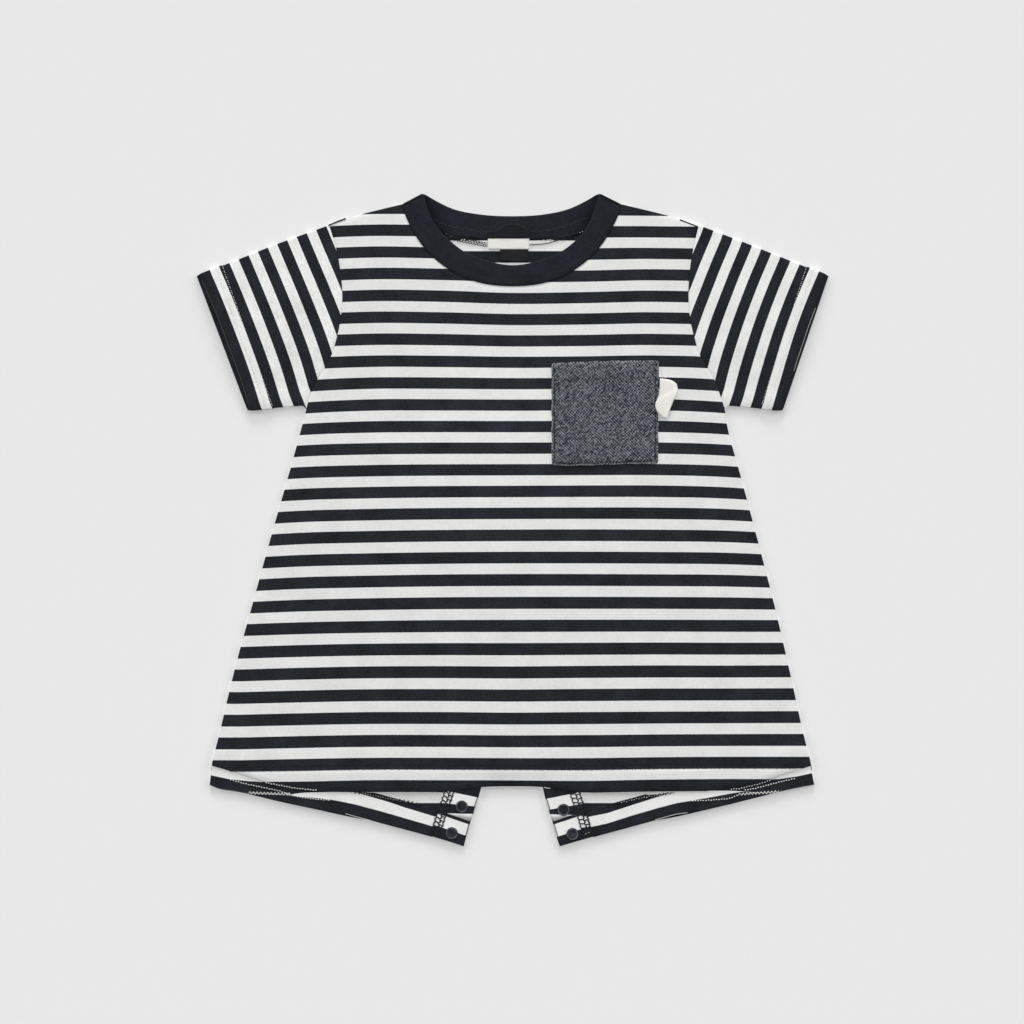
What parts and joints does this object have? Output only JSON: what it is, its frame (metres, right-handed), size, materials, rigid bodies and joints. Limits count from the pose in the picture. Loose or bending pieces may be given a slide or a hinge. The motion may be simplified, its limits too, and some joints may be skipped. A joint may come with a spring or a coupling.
{
  "type": "baby t-shirt romper",
  "caption": "Short-sleeved baby romper in striped jersey, laid flat, with a rib neckband, a woven chest pocket with a side tab, and a longer back whose leg flaps carry snaps.",
  "frame": {"origin": "middle of the bounding box, on the surface that the garment lies on", "axes": "+Y from the hem to the neck, +Z out of the front, +X to the right of the laid-out garment seen from above"},
  "size_m": [0.4414, 0.4559, 0.0065],
  "materials": {
    "striped_jersey": "cotton single jersey, off-white with near-black stripes about 7.5 mm wide",
    "rib": "near-black cotton rib, folded double",
    "chambray": "grey cotton chambray in a twill weave",
    "tape": "cream cotton tape",
    "dark_label": "black satin label tape",
    "cream_label": "pale satin label tape",
    "snap": "dark lacquered brass snap"
  },
  "bodies": {
    "root": {"front_panel": "striped_jersey", "back_panel": "striped_jersey", "sleeve_left": "striped_jersey", "sleeve_right": "striped_jersey", "neckband": "rib", "chest_pocket": "chambray", "pocket_tab": "tape", "collar_label": "dark_label", "cream_label": "cream_label", "small_label": "dark_label", "leg_facing_left": "striped_jersey", "leg_facing_right": "striped_jersey", "placket_left": "striped_jersey", "placket_right": "striped_jersey", "snap_left_upper": "snap", "snap_left_lower": "snap", "snap_right_upper": "snap", "snap_right_lower": "snap"}
  },
  "joints": []
}
